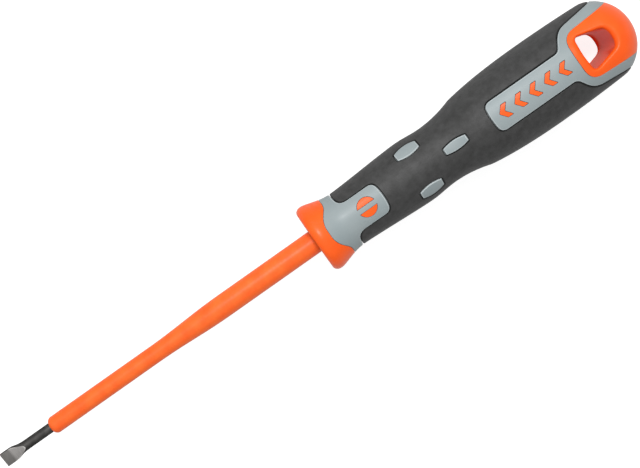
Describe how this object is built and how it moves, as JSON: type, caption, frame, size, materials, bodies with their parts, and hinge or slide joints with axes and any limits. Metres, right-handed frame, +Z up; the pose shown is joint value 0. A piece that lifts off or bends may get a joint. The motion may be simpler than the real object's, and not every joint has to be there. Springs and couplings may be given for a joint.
{
  "type": "insulated screwdriver",
  "caption": "Insulated slotted screwdriver: flat burnished blade in a moulded insulation sleeve, and a handle with a guard collar, soft grip and hanging hole.",
  "frame": {"origin": "middle of the blade tip's end face", "axes": "+X along the tool's axis from the blade tip to the butt, +Z up out of one marked face of the handle and along the hanging hole, +Y to the left when looking from the tip to the butt with +Z up"},
  "size_m": [0.2008, 0.0232, 0.0232],
  "materials": {
    "blade_steel": "burnished dark, ground bright on the tip's two flats",
    "sleeve_orange": "satin moulded",
    "core_orange": "satin moulded",
    "shell_grey": "satin moulded",
    "grip_dark": "matt, fine grained"
  },
  "bodies": {
    "root": {"blade": "blade_steel", "blade_sleeve": "sleeve_orange", "handle_core": "core_orange", "middle_shell": "shell_grey", "soft_grip": "grip_dark"}
  },
  "joints": []
}
